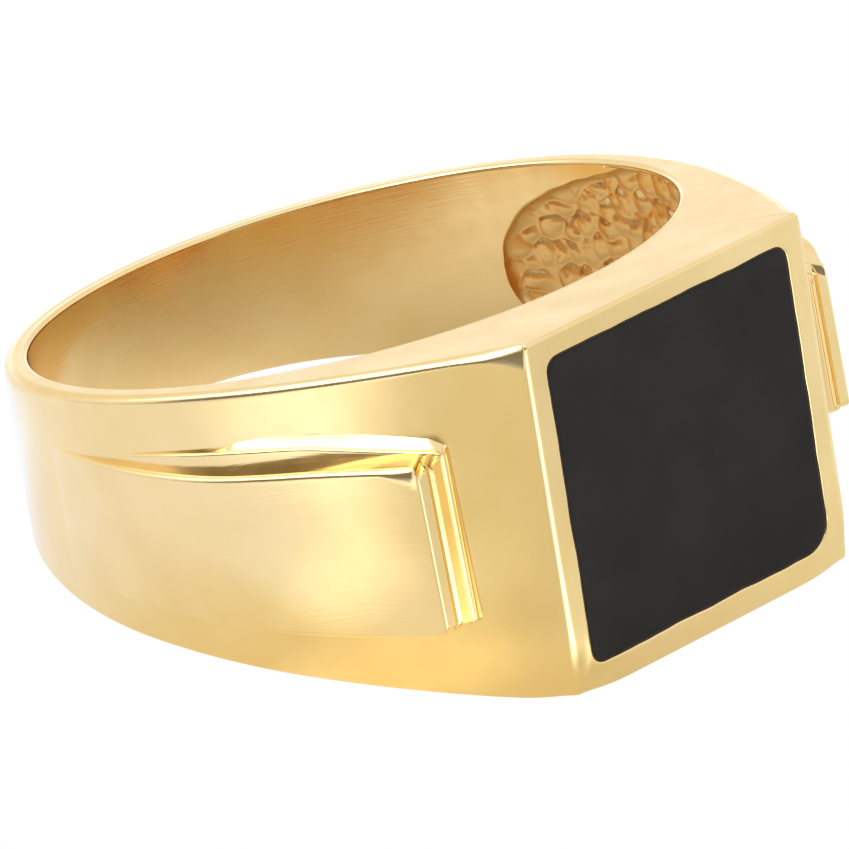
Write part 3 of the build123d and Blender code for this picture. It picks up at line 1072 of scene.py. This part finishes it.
def table_material():
    """White to the camera, with painted shade where it is seen inside the bore. In the polished
    gold the table glows with painted light and shade: the room's uneven light, the gold's own glow
    close to the ring and the shade inside the bore."""
    material = bpy.data.materials.new("pale_table_painted_light")
    tree = empty_tree(material)
    place = node(tree, "ShaderNodeNewGeometry")
    round_factor = heading(tree, place.outputs["Position"])
    flat = vector_node(tree, "MULTIPLY", place.outputs["Position"], (1 / MM, 1 / MM, 0))
    radius = vector_node(tree, "LENGTH", flat, (0, 0, 0), "Value")

    def by_radius(limits, first, second):
        return mixed(tree, smooth_range(tree, radius, *limits), first, second)

    near, middle, far = (
        round_ramp(tree, round_factor, stops) for stops in (TABLE_NEAR_PAINTED_LIGHT, TABLE_MIDDLE_PAINTED_LIGHT, TABLE_FAR_PAINTED_LIGHT)
    )
    outside = by_radius(MIDDLE_TO_FAR, by_radius(NEAR_TO_MIDDLE, near, middle), far)
    turn = math.radians(VIEW_AZIMUTH)
    away = vector_node(tree, "DOT_PRODUCT", flat, (-math.sin(turn), math.cos(turn), 0), "Value")
    across = vector_node(tree, "DOT_PRODUCT", flat, (math.cos(turn), math.sin(turn), 0), "Value")
    # painted light and shade on the table inside the bore, for the gold's reflections
    inside = mixed(tree, smooth_range(tree, across, *INSIDE_ACROSS), INSIDE_LIT_LEFT, INSIDE_SHADE_RIGHT)
    inside = mixed(tree, smooth_range(tree, away, *INSIDE_AWAY), INSIDE_SHADE_NEAR, inside)
    seen_in_gold = by_radius(INSIDE_EDGE, inside, outside)
    # painted shade on the table inside the bore, for the camera
    seen = by_radius(SEEN_EDGE, SEEN_SHADE_INSIDE, WHITE)
    path = node(tree, "ShaderNodeLightPath")
    colour = mixed(tree, path.outputs["Is Camera Ray"], seen_in_gold, seen)
    glow = node(tree, "ShaderNodeEmission", {"Color": colour, "Strength": 1.0})
    clear = node(tree, "ShaderNodeBsdfTransparent")
    both = node(tree, "ShaderNodeMixShader", {
        0: place.outputs["Backfacing"], 1: glow.outputs["Emission"], 2: clear.outputs["BSDF"],
    })
    output = node(tree, "ShaderNodeOutputMaterial")
    tree.links.new(both.outputs["Shader"], output.inputs["Surface"])
    return material


def make_world():
    """White light tent with soft lights and darker openings, by direction from the ring."""
    world = bpy.data.worlds.new("light_tent")
    tree = empty_tree(world)
    direction = node(tree, "ShaderNodeTexCoord").outputs["Generated"]
    light = WHITE
    for azimuth, elevation, width, height, soft, colour in TENT_PATCHES:
        turned = node(tree, "ShaderNodeVectorRotate", {
            "Vector": direction, "Angle": -math.radians(azimuth)}, rotation_type="Z_AXIS")
        parts = node(tree, "ShaderNodeSeparateXYZ", {"Vector": turned.outputs["Vector"]}).outputs
        front = math_node(tree, "MULTIPLY", parts["Y"], -1.0)
        across = math_node(tree, "ABSOLUTE", math_node(tree, "ARCTAN2", parts["X"], front))
        above = math_node(tree, "SUBTRACT", math_node(tree, "ARCSINE", parts["Z"]),
                          math.radians(elevation))
        up = math_node(tree, "ABSOLUTE", above)
        w, h, blur = (math.radians(v) for v in (width / 2, height / 2, soft))
        within_w = math_node(tree, "SUBTRACT", 1.0, smooth_range(tree, across, w - blur, w + blur))
        within_h = math_node(tree, "SUBTRACT", 1.0, smooth_range(tree, up, h - blur, h + blur))
        within = math_node(tree, "MULTIPLY", within_w, within_h)
        light = mixed(tree, within, light, colour + (1,))
    path = node(tree, "ShaderNodeLightPath")
    seen = mixed(tree, path.outputs["Is Camera Ray"], light, WHITE)
    background = node(tree, "ShaderNodeBackground", {"Color": seen, "Strength": 1.0})
    output = node(tree, "ShaderNodeOutputWorld")
    tree.links.new(background.outputs["Background"], output.inputs["Surface"])
    bpy.context.scene.world = world


def make_camera():
    a, e, r = (math.radians(v) for v in (VIEW_AZIMUTH, VIEW_ELEVATION, VIEW_ROLL))
    back = Vector((math.sin(a) * math.cos(e), -math.cos(a) * math.cos(e), math.sin(e)))
    right = Vector((math.cos(a), math.sin(a), 0))
    up = back.cross(right)
    right_r = math.cos(r) * right + math.sin(r) * up
    up_r = -math.sin(r) * right + math.cos(r) * up
    aim = right_r * VIEW_AIM[0] + up_r * VIEW_AIM[1]
    camera = bpy.data.objects.new("camera", bpy.data.cameras.new("camera"))
    camera.data.lens = LENS
    camera.data.sensor_width = 36.0
    camera.data.clip_start, camera.data.clip_end = 0.01, 10.0
    axes = Matrix((right_r, up_r, back)).transposed().to_4x4()
    camera.matrix_world = Matrix.Translation((aim + back * VIEW_DISTANCE) * MM) @ axes
    bpy.context.scene.collection.objects.link(camera)
    bpy.context.scene.camera = camera


# ---- put together ----
def place(piece, cad_node, slot, material):
    piece.data.materials.append(material)
    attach(piece, "root")
    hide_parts(cad_node)


body_gold = gold_material("gold_body", 0.17)
plate_gold = gold_material("gold_straps", 0.15)
place(make_ring_body(), "ring_body", "gold", body_gold)
for side in (1, -1):
    step, strap, word = make_shoulder(side, body_outline(side))
    place(step, f"shoulder_step_{word}", "gold", plate_gold)
    place(strap, f"shoulder_strap_{word}", "gold", plate_gold)
place(make_onyx(), "onyx_tablet", "onyx", onyx_material())
place(make_cement(), "inlay_cement", "cement", cement_material())

make_floor()
make_world()
make_camera()
scene = bpy.context.scene
scene.view_settings.view_transform = "Standard"
scene.view_settings.look = "None"
